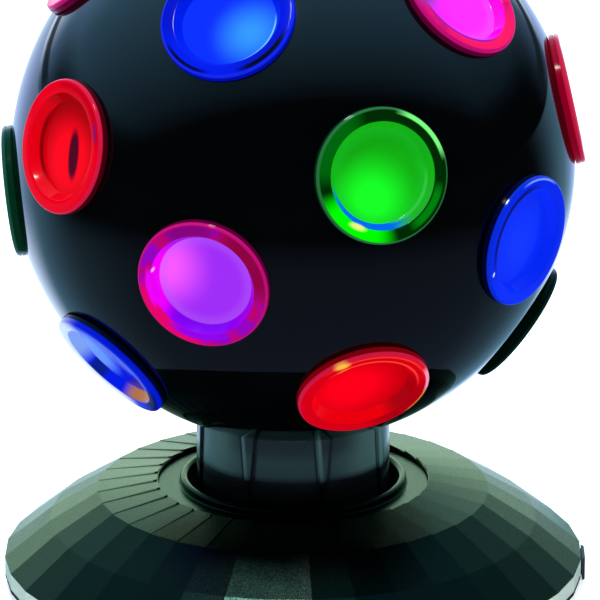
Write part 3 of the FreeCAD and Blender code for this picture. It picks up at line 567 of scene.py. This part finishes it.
studio()
sky()
lamp("topBox", (0.0, -0.1, 1.6), (1.2, 1.2), 9, (0.92, 0.98, 1.0))
lamp("leftBox", (-1.5, 0.3, 0.9), (0.7, 1.0), 4, (0.95, 1.0, 0.98))
lamp("rightBox", (1.5, 0.3, 0.9), (0.7, 1.0), 11, (0.95, 1.0, 0.98))
lamp("keySpot", (-0.17, -0.42, 1.69), (0.2, 0.2), 26, (0.95, 1.0, 0.96), True)
bpy.context.scene.view_settings.view_transform = "Standard"
print("studio and camera done")

# ball shells: a sphere cut for the lens caps, hollowed, and parted at the seam
ballForm = {"wall": 2.8, "seat": 97.3, "seatRadius": 26.3, "hole": 18.0, "segments": 192, "rings": 128,
            "throat": 22.0, "throatDepth": 80, "throatSegments": 128, "holeSegments": 96,
            "seatReach": 8, "holeAbove": 4, "holeBelow": 12}
# each row's latitude, its first cap's place round the axis and its number of caps
lensRows = {"upper": (44.3, -18.0, 5), "middle": (12.4, 18.0, 5),
            "belt": (-7.8, -18.0, 5), "lower": (-37.7, 18.0, 5)}
# some caps sit a little off their row
lensShifts = {"lens_upper_2": 0.4, "lens_upper_5": 1.9, "lens_middle_2": 0.6, "lens_belt_1": -1.8,
              "lens_belt_2": 0.9, "lens_belt_5": 1.1, "lens_lower_2": 0.6}
lensSpots = {"lens_pole": (0.0, 90.0)}
for row, (latitude, first, count) in lensRows.items():
    for step in range(count):
        name = f"lens_{row}_{step + 1}"
        lensSpots[name] = (first + 360 * step / count, latitude + lensShifts.get(name, 0))


def cutters(radius, low, high):
    # a rod for each lens cap, in one piece; low and high count from the ball's centre
    rods = []
    for azimuth, latitude in lensSpots.values():
        bpy.ops.object.select_all(action="DESELECT")
        bpy.ops.mesh.primitive_cylinder_add(vertices=ballForm["holeSegments"], radius=radius * mm,
                                            depth=(high - low) * mm, location=(0, 0, (low + high) / 2 * mm))
        rod = bpy.context.active_object
        rod.matrix_world = lensPlace(azimuth, latitude) @ rod.matrix_world
        rods.append(rod)
    only(rods[0])
    for rod in rods:
        rod.select_set(True)
    bpy.ops.object.join()
    return bpy.context.active_object


def cut(piece, tool, operation="DIFFERENCE"):
    only(piece)
    change = piece.modifiers.new("cut", "BOOLEAN")
    change.operation = operation
    change.solver = "EXACT"
    change.object = tool
    bpy.ops.object.modifier_apply(modifier=change.name)
    bpy.data.objects.remove(tool)


def roundBall(radius):
    bpy.ops.object.select_all(action="DESELECT")
    bpy.ops.mesh.primitive_uv_sphere_add(segments=ballForm["segments"], ring_count=ballForm["rings"],
                                         radius=radius, location=ballCentre)
    return bpy.context.active_object


def partedBall(ball, above, seam):
    only(ball)
    bpy.ops.object.duplicate()
    half = bpy.context.active_object
    bpy.ops.object.mode_set(mode="EDIT")
    bpy.ops.mesh.select_all(action="SELECT")
    bpy.ops.mesh.bisect(plane_co=(0, 0, seam), plane_no=(0, 0, 1), use_fill=True,
                        clear_inner=above, clear_outer=not above)
    bpy.ops.mesh.select_all(action="SELECT")
    bpy.ops.mesh.normals_make_consistent(inside=False)
    bpy.ops.object.mode_set(mode="OBJECT")
    return half


glossy = glossBlack()
ball = roundBall(ballRadius)
cut(ball, cutters(ballForm["seatRadius"], ballForm["seat"], ballForm["seat"] + ballForm["seatReach"]))
cut(ball, cutters(ballForm["hole"], ballForm["seat"] - ballForm["holeBelow"],
                  ballForm["seat"] + ballForm["holeAbove"]))
cut(ball, roundBall(ballRadius - ballForm["wall"] * mm))
bpy.ops.object.select_all(action="DESELECT")
bpy.ops.mesh.primitive_cylinder_add(vertices=ballForm["throatSegments"], radius=ballForm["throat"] * mm,
                                    depth=ballForm["throatDepth"] * mm,
                                    location=(0, 0, ballCentre.z - ballRadius))
cut(ball, bpy.context.active_object)
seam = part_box("ball_upper_shell")[0].z
lowerShell = partedBall(ball, False, seam)
upperShell = partedBall(ball, True, seam)
bpy.data.objects.remove(ball)
finished(lowerShell, "lowerShell", glossy, "ball", "ball_plastic", "ball_lower_shell")
finished(upperShell, "upperShell", glossy, "upper_shell", "ball_plastic", "ball_upper_shell")
print("ball shells done")

# lens caps: one cap modelled from its back to its dished front, then a copy for each place
green = {
    "dim": (0.007, 0.40, 0.007), "bright": (0.0097, 1.0, 0.02), "glow": (-0.2, -0.5, 0.1, 1.15), "edge": 0.3,
    "edgeColour": (0.012, 0.6, 0.03), "wall": (0.007, 0.42, 0.007),
    "wallLights": [(246, 62, (0.0, 0.10, 0.72))],
    "flange": (0.0, 0.022, 0.001),
    "flangeLights": [(236, 46, (0.0, 0.95, 0.0)), (145, 45, (0.0, 0.12, 0.004))],
    "arcs": [(1.36, 0.06, 42, 34, (0.2, 0.95, 0.2)), (1.24, 0.1, 322, 30, (0.0, 0.2, 0.004)),
             (1.01, 0.035, 322, 48, (0.03, 0.5, 0.05)), (1.10, 0.03, 318, 40, (0.02, 0.35, 0.03))],
    "patches": [(-0.62, -1.0, 0.17, 0.06, -25, 0.5, (0.8, 0.85, 0.2))],
    "lip": (0.02, 0.14, 0.04), "side": (0.0, 0.03, 0.008),
}
# the green look painted in shade for the green caps seen edge-on at the ball's sides, the second darker
# still
shadedGreen = dict(green, flange=(0.0, 0.02, 0.006), flangeLights=[], arcs=[], patches=[],
                 lip=(0.010, 0.07, 0.045), side=(0.001, 0.022, 0.010))
deepShadedGreen = dict(shadedGreen, flange=(0.0, 0.004, 0.002), wall=(0.0, 0.02, 0.002), dim=(0.0, 0.03, 0.003),
                  lip=(0.002, 0.014, 0.010), side=(0.0, 0.003, 0.002))
magenta = {
    "dim": (0.36, 0.026, 0.9), "bright": (1.0, 0.10, 1.0), "glow": (-0.95, 0.3, 0.15, 1.25), "edge": 0.35,
    "edgeColour": (0.5, 0.12, 0.96), "wall": (0.35, 0.0, 0.75),
    "wallLights": [(185, 62, (0.95, 0.0, 1.0)), (265, 60, (0.22, 0.0, 0.85)), (60, 60, (0.28, 0.0, 0.22))],
    "flange": (0.5, 0.0, 0.16), "blotch": (0.3, 0.0, 0.5),
    "flangeLights": [(225, 55, (0.8, 0.0, 0.14)), (30, 50, (0.27, 0.0, 0.05)), (100, 30, (0.24, 0.0, 0.2))],
    "arcs": [(1.2, 0.1, 265, 40, (0.28, 0.0, 0.8)), (1.15, 0.12, 188, 26, (0.85, 0.0, 0.9))],
    "patches": [(-1.08, 0.24, 0.05, 0.022, 70, 0.6, (1.0, 0.5, 1.0))],
    "lip": (0.5, 0.004, 0.16), "side": (0.09, 0.0, 0.03),
}
pinkMagenta = dict(magenta, dim=(0.75, 0.012, 0.75), bright=(1.0, 0.02, 1.0), glow=(0.2, -0.3, 0.3, 1.2),
                   wall=(0.9, 0.0, 0.65), wallLights=[(200, 50, (0.4, 0.0, 0.6))], flange=(0.72, 0.0, 0.14),
                   blotch=(0.5, 0.0, 0.16), flangeLights=[(270, 70, (0.85, 0.004, 0.11))],
                   arcs=[(1.15, 0.05, 225, 60, (0.25, 0.0, 0.42))],
                   patches=[(-0.75, 0.45, 0.5, 0.3, 30, 0.6, (0.25, 0.04, 0.5))], side=(0.1, 0.0, 0.03))
red = {
    "dim": (0.36, 0.0, 0.002), "bright": (1.0, 0.0, 0.010), "glow": (0.05, -0.25, 0.3, 1.25), "edge": 0.0,
    "wall": (0.72, 0.0, 0.006), "wallLights": [(90, 50, (0.35, 0.0, 0.002))],
    "flange": (0.78, 0.0, 0.012), "flangeLights": [(60, 60, (0.62, 0.0, 0.010))],
    "arcs": [(0.99, 0.045, 190, 55, (0.22, 0.0, 0.002)), (1.3, 0.04, 60, 60, (0.5, 0.0, 0.012))],
    "lip": (0.62, 0.008, 0.05), "side": (0.05, 0.0, 0.004),
}
slitRed = dict(red, patches=[(0.2, -0.13, 0.52, 0.18, 98, 0.25, (0.07, 0.0, 0.012)),
                             (1.12, 0.55, 0.2, 0.06, 110, 0.5, (0.28, 0.004, 0.10))])
# the red look painted for the cap seen edge-on at the right: a darker flange and a paler side
edgeRed = dict(red, flange=(0.4, 0.004, 0.02), lip=(0.5, 0.01, 0.05), side=(0.24, 0.0, 0.014))
# the red look for the lowest front cap, with a painted glow and painted highlight lines and glints along the
# top
glowRed = dict(red, dim=(0.5, 0.0, 0.003), glow=(-0.2, -0.1, 0.3, 1.4), wall=(0.86, 0.0, 0.004),
               wallLights=[(-10, 50, (0.4, 0.0, 0.004))], flange=(0.68, 0.0, 0.008),
               flangeLights=[(-30, 50, (0.42, 0.0, 0.006))],
               arcs=[(1.17, 0.03, 75, 75, (1.0, 0.06, 0.03)), (1.33, 0.035, 80, 70, (1.0, 0.03, 0.02)),
                     (1.38, 0.05, 12, 22, (1.0, 0.3, 0.45)), (1.40, 0.06, -18, 22, (0.75, 0.2, 0.02))],
               patches=[(-0.72, 1.12, 0.15, 0.09, 28, 0.6, (1.0, 0.5, 0.06)),
                        (-0.62, 0.92, 0.13, 0.06, 28, 0.6, (1.0, 0.25, 0.03))], side=(0.2, 0.0, 0.004))
blue = {
    "dim": (0.0015, 0.022, 0.85), "bright": (0.004, 0.034, 1.0), "glow": (0.0, -0.1, 0.1, 1.1), "edge": 0.0,
    "wall": (0.002, 0.022, 0.88), "flange": (0.001, 0.018, 0.78),
    "flangeLights": [(250, 60, (0.002, 0.025, 0.9))],
    "arcs": [(1.2, 0.08, 140, 70, (0.0, 0.004, 0.2)), (1.37, 0.03, 80, 30, (0.15, 0.3, 1.0))],
    "patches": [(-1.2, -0.45, 0.05, 0.03, 70, 0.5, (0.6, 0.75, 1.0))],
    "lip": (0.002, 0.022, 0.6), "side": (0.0, 0.001, 0.02),
}
# the blue look for the top cap, with a painted pale glow in the window and painted dark and pale lines
litBlue = dict(blue, bright=(0.03, 0.27, 1.0), glow=(0.52, -0.22, 0.0, 1.0), wall=(0.0, 0.012, 0.7),
                  flange=(0.0, 0.004, 0.5),
                  flangeLights=[(250, 60, (0.0, 0.008, 0.68)), (20, 40, (0.0, 0.006, 0.6))],
                  arcs=[(1.0, 0.035, 336, 44, (0.16, 0.5, 1.0)), (1.33, 0.07, 322, 34, (0.0, 0.0, 0.008)),
                        (1.35, 0.045, 240, 30, (0.0, 0.0, 0.04))],
                  patches=[], lip=(0.006, 0.02, 0.8), side=(0.0, 0.004, 0.4))
# the blue look for the lower cap on the left: a painted glow at the window's left, and its flange and lip
# painted nearly white towards the far side, as light from behind comes through them
backlitBlue = dict(blue, dim=(0.003, 0.010, 0.62), bright=(0.15, 0.32, 1.0), glow=(-0.85, -0.02, 0.3, 0.9),
                wall=(0.001, 0.012, 0.78),
                wallLights=[(150, 50, (0.23, 0.37, 0.88)), (209, 14, (0.002, 0.013, 0.26))],
                flange=(0.001, 0.008, 0.66),
                flangeLights=[(150, 62, (0.55, 0.64, 1.0)), (215, 60, (0.62, 0.70, 1.0)),
                              (320, 34, (0.001, 0.001, 0.12))],
                arcs=[(1.06, 0.085, 286, 42, (0.46, 0.18, 0.05))],
                patches=[(0.16, -0.78, 0.3, 0.16, 10, 0.5, (0.004, 0.006, 0.26))],
                lip=(0.001, 0.010, 0.62), lipLights=[(180, 95, (0.66, 0.74, 1.0))],
                side=(0.0, 0.001, 0.01), sideDrop=1.5)
amber = {
    "dim": (0.45, 0.13, 0.01), "bright": (0.95, 0.40, 0.05), "glow": (0.0, -0.1, 0.1, 1.1), "edge": 0.2,
    "wall": (0.5, 0.16, 0.01), "flange": (0.55, 0.17, 0.012),
    "lip": (0.8, 0.32, 0.05), "side": (0.3, 0.09, 0.006),
}
rowLooks = {
    "upper": [litBlue, pinkMagenta, green, red, pinkMagenta],
    "middle": [green, edgeRed, amber, blue, slitRed],
    "belt": [magenta, blue, magenta, red, shadedGreen],
    "lower": [glowRed, deepShadedGreen, blue, amber, backlitBlue],
}


def lensRings():
    form = lensForm
    seat = form["seat"]
    front = seat + form["thickness"]
    floor = front - form["depth"]
    back = floor - form["window"]
    groove = seat + form["layer"]
    outer = form["radius"]
    edge = form["edge"]
    waist = outer - form["groove"]
    # the plug, the flange's back and its groove
    rings = [(form["plug"] - form["chamfer"], back), (form["plug"], back + form["chamfer"]),
             (form["plug"], seat), (outer - edge, seat), (outer, seat + edge),
             (outer, groove - form["grooveHalf"]), (waist, groove - form["grooveFlat"]),
             (waist, groove + form["grooveFlat"]), (outer, groove + form["grooveHalf"])]
    # the rounded front edge, the flat face and the dish with its window
    rings += arc(outer - form["frontInset"], front - form["frontDrop"], form["frontRound"], 6, 84, 6)
    rings += [(form["dish"] + 0.3, front)]
    rings += arc(form["dish"] + 0.1, front - form["dishRound"], form["dishRound"], 90, 150, 3)[1:]
    rings += [(form["floor"] + 0.15, floor + edge), (form["floor"] - 0.1, floor), (1.0, floor)]
    return rings


capModel = ringWalk(lensRings(), lensForm["segments"], False)
for name, (azimuth, latitude) in lensSpots.items():
    look = amber if name == "lens_pole" else rowLooks[name.split("_")[1]][int(name[-1]) - 1]
    cap = copied(capModel, lensPlace(azimuth, latitude))
    body = "upper_shell" if name.split("_")[1] in ("upper", "pole") else "ball"
    finished(cap, name.replace("lens", "cap"), lensFinish(name, azimuth, latitude, look), body,
             slots[name], name, angle=35)
bpy.data.objects.remove(capModel)
print("lens caps done")

# collar ring: well wall, flange under the cover, sunk ring and a round-topped lip
satin = satinBase()
collarForm = {"bore": 37.7, "well": 39.9, "bottom": 28.4, "under": 33.26, "edge": 35.06, "flange": 54.0,
              "outer": 48.45, "ring": 37.2, "lip": 40.7, "top": 40.2, "segments": 192,
              "chamfer": 0.4, "ringChamfer": 0.25}


def collarRings():
    form = collarForm
    half = (form["lip"] - form["bore"]) / 2
    chamfer = form["chamfer"]
    ringChamfer = form["ringChamfer"]
    rings = [(form["bore"], form["bottom"]), (form["well"] - chamfer, form["bottom"]),
             (form["well"], form["bottom"] + chamfer), (form["well"], form["under"]),
             (form["flange"], form["under"]), (form["flange"], form["edge"]),
             (form["outer"], form["edge"]), (form["outer"], form["ring"] - ringChamfer),
             (form["outer"] - ringChamfer, form["ring"]), (form["lip"] + chamfer, form["ring"]),
             (form["lip"], form["ring"] + chamfer)]
    rings += arc(form["bore"] + half, form["top"] - half, half, 0, 180, 12)
    return rings


collar = ringWalk(collarRings(), collarForm["segments"], True)
finished(collar, "collarRing", satin, "base", "base_plastic", "collar_ring")

# neck: a drum with eight raised ribs that narrow downwards, over the ring gear
neckForm = {"radius": 34.6, "wall": 2.4, "bottom": 26.5, "ribs": 8, "first": 18.0, "proud": 0.9,
            "topWidth": 5.8, "tipWidth": 1.2, "tip": 37.5, "top": 67.0,
            "bosses": 4, "bossRadius": 4.2, "bossCircle": 28.6, "segments": 192, "bossSegments": 48,
            "edge": 0.3, "ribEdge": 0.4, "gap": 0.05}
# where the painted highlight and the dark lines along a rib's edges start and end, in mm, and where painted
# shade and a painted reflection make the drum darker or paler
neckMarks = {
    "paleStart": (-0.5, 0.1), "paleEnd": (1.9, 1.1),
    "darkRightStart": (-0.9, -0.3), "darkRightEnd": (1.5, 0.7),
    "darkLeftStart": (-1.4, -0.9), "darkLeftEnd": (-0.2, -0.6),
    "sides": (150, 700), "middle": (700, 200), "underBall": (54.0, 62.0), "inCollar": (51.0, 47.5),
}


def slateFinish():
    # painted shade makes the drum nearly black in the collar and darker at the top middle, a painted
    # reflection paler to the sides; each rib has a painted highlight on its left edge and a dark line to
    # either side
    form = neckForm
    marks = neckMarks
    paint = newPaint("neckSlate")
    place = paint.place()
    parts = paint.parts(place)
    height = parts.out("Z") / mm
    cloud = paint.noise(place, 40.0, 3.0)
    spacing = 360 / form["ribs"]
    azimuth = paint.turned(parts.out("X"), 0 - parts.out("Y"))
    steps = azimuth * (180 / math.pi / spacing) + (8.5 - form["first"] / spacing)
    across = (steps.math("FRACT") - 0.5) * (math.radians(spacing) * form["radius"])
    taper = (form["topWidth"] - form["tipWidth"]) / (form["top"] - form["tip"]) / 2
    half = (height - form["tip"]) * taper + form["tipWidth"] / 2
    leftEdge = across + half
    rightEdge = across - half
    colour = paint.blend(cloud, (0.034, 0.076, 0.072), (0.042, 0.092, 0.088))
    # beside is the distance to the light's middle plane, squared
    beside = (parts.out("X") * parts.out("X")) / (mm * mm)
    # painted reflection: paler towards the sides
    colour = paint.blend(beside.rise(*marks["sides"]), colour, (0.08, 0.16, 0.14))
    # painted shade: darker at the top middle, under the ball
    shade = height.rise(*marks["underBall"]) * beside.rise(*marks["middle"])
    colour = paint.blend(shade * 0.7, colour, (0.008, 0.016, 0.017))
    # a painted highlight along each rib's left edge
    ribHighlight = leftEdge.rise(*marks["paleStart"]) * leftEdge.rise(*marks["paleEnd"])
    darkRight = rightEdge.rise(*marks["darkRightStart"]) * rightEdge.rise(*marks["darkRightEnd"])
    darkLeft = leftEdge.rise(*marks["darkLeftStart"]) * leftEdge.rise(*marks["darkLeftEnd"])
    colour = paint.blend(ribHighlight * 0.7, colour, (0.12, 0.24, 0.22))
    colour = paint.blend(darkRight.most(darkLeft) * 0.85, colour, (0.006, 0.012, 0.014))
    # painted shade: nearly black down in the collar
    colour = paint.blend(height.rise(*marks["inCollar"]), colour, (0.002, 0.004, 0.005))
    return paint.surface(
        Base_Color=colour,
        Roughness=0.16 + cloud * 0.08,
        Normal=paint.bump(paint.noise(place, 900.0, 2.0), 0.15, 0.03 * mm),
    )


slate = slateFinish()


def ribModel():
    # a wedge on the drum's front: its tip below, its wide end above, the edges rounded
    form = neckForm
    depth = 2 * form["proud"]
    top = form["top"] - form["tip"]
    middle = form["radius"] + form["proud"] - depth / 2
    bpy.ops.object.select_all(action="DESELECT")
    bpy.ops.mesh.primitive_plane_add(size=1, location=(0, -middle * mm, form["tip"] * mm))
    rib = bpy.context.active_object
    rib.scale = (form["tipWidth"] * mm, depth * mm, 1)
    bpy.ops.object.transform_apply(location=True, rotation=True, scale=True)
    bpy.ops.object.mode_set(mode="EDIT")
    bpy.ops.mesh.select_all(action="SELECT")
    bpy.ops.mesh.extrude_region_move(TRANSFORM_OT_translate={"value": (0, 0, top * mm)})
    bpy.ops.transform.resize(value=(form["topWidth"] / form["tipWidth"], 1, 1),
                             center_override=(0, 0, form["top"] * mm))
    bpy.ops.mesh.select_all(action="SELECT")
    bpy.ops.mesh.normals_make_consistent(inside=False)
    bpy.ops.mesh.bevel(offset=form["ribEdge"] * mm, segments=3, affect="EDGES")
    bpy.ops.object.mode_set(mode="OBJECT")
    return rib


def neckDrum():
    form = neckForm
    inner = form["radius"] - form["wall"]
    drum = ringWalk([(inner, form["bottom"]), (form["radius"] - form["edge"], form["bottom"]),
                     (form["radius"], form["bottom"] + form["edge"]), (form["radius"], form["top"]),
                     (inner, form["top"])], form["segments"], True)
    rib = ribModel()
    for step in range(form["ribs"]):
        turn = Matrix.Rotation(math.radians(form["first"] + 360 * step / form["ribs"]), 4, "Z")
        cut(drum, copied(rib, turn), "UNION")
    bpy.data.objects.remove(rib)
    for step in range(form["bosses"]):
        turn = math.radians(form["first"] + 360 * step / form["bosses"])
        bpy.ops.object.select_all(action="DESELECT")
        bpy.ops.mesh.primitive_cylinder_add(
            vertices=form["bossSegments"], radius=form["bossRadius"] * mm,
            depth=(form["top"] - form["bottom"]) * mm,
            location=(form["bossCircle"] * math.sin(turn) * mm, -form["bossCircle"] * math.cos(turn) * mm,
                      (form["top"] + form["bottom"]) / 2 * mm))
        cut(drum, bpy.context.active_object, "UNION")
    cut(drum, roundBall(ballRadius + form["gap"] * mm))
    return drum


finished(neckDrum(), "neckDrum", slate, "ball", "ball_plastic", "neck_drum")


# base cover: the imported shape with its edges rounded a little
def softCopy(nodeName, width, angle):
    only(nodes[nodeName])
    bpy.ops.object.duplicate()
    piece = bpy.context.active_object
    piece.parent = None
    piece.matrix_world = nodes[nodeName].matrix_world
    bpy.ops.object.transform_apply(location=True, rotation=True, scale=True)
    bpy.ops.object.mode_set(mode="EDIT")
    bpy.ops.mesh.select_all(action="SELECT")
    bpy.ops.mesh.remove_doubles(threshold=0.002 * mm)
    bpy.ops.mesh.dissolve_limited(angle_limit=math.radians(0.5))
    bpy.ops.object.mode_set(mode="OBJECT")
    change = piece.modifiers.new("edges", "BEVEL")
    change.width = width * mm
    change.segments = 2
    change.limit_method = "ANGLE"
    change.angle_limit = math.radians(angle)
    change.use_clamp_overlap = True
    bpy.ops.object.modifier_apply(modifier=change.name)
    return piece


cover = softCopy("base_cover", 0.15, 25)
finished(cover, "baseCover", satin, "base", "base_plastic", "base_cover", angle=4)
print("collar, neck and cover done")

# finishes of the pieces that keep their CAD shape
rubberFinish = plainFinish("rubberFinish", (0.020, 0.022, 0.021), (0.034, 0.038, 0.036), 0.6)
nylonFinish = plainFinish("nylonFinish", (0.62, 0.61, 0.55), (0.7, 0.69, 0.63), 0.4)
zincFinish = plainFinish("zincFinish", (0.45, 0.45, 0.44), (0.6, 0.6, 0.58), 0.28, metal=1.0)
brassFinish = plainFinish("brassFinish", (0.6, 0.45, 0.2), (0.72, 0.56, 0.27), 0.25, metal=1.0)
holderFinish = plainFinish("holderFinish", (0.6, 0.59, 0.55), (0.68, 0.67, 0.63), 0.35)
ceramicFinish = plainFinish("ceramicFinish", (0.7, 0.69, 0.66), (0.78, 0.77, 0.73), 0.15)
wireFinish = plainFinish("wireFinish", (0.5, 0.48, 0.45), (0.6, 0.58, 0.55), 0.3, metal=1.0)
finishOf = {
    "ball_plastic": glossy, "base_plastic": satin, "rubber": rubberFinish, "gland_rubber": rubberFinish,
    "zinc_steel": zincFinish, "motor_steel": zincFinish, "white_nylon": nylonFinish,
    "holder_plastic": holderFinish, "holder_ceramic": ceramicFinish, "brass": brassFinish,
    "lamp_glass": clearGlass(), "filament_wire": wireFinish,
    "lead_pvc": plainFinish("leadSleeve", (0.01, 0.05, 0.22), (0.015, 0.07, 0.28), 0.4),
}
for entry in frame["record"]["subparts"]:
    finish = finishOf.get(entry["material_slot"])
    if finish:
        piece = nodes[entry["node"]]
        piece.data.materials.clear()
        piece.data.materials.append(finish)
print("finishes done")
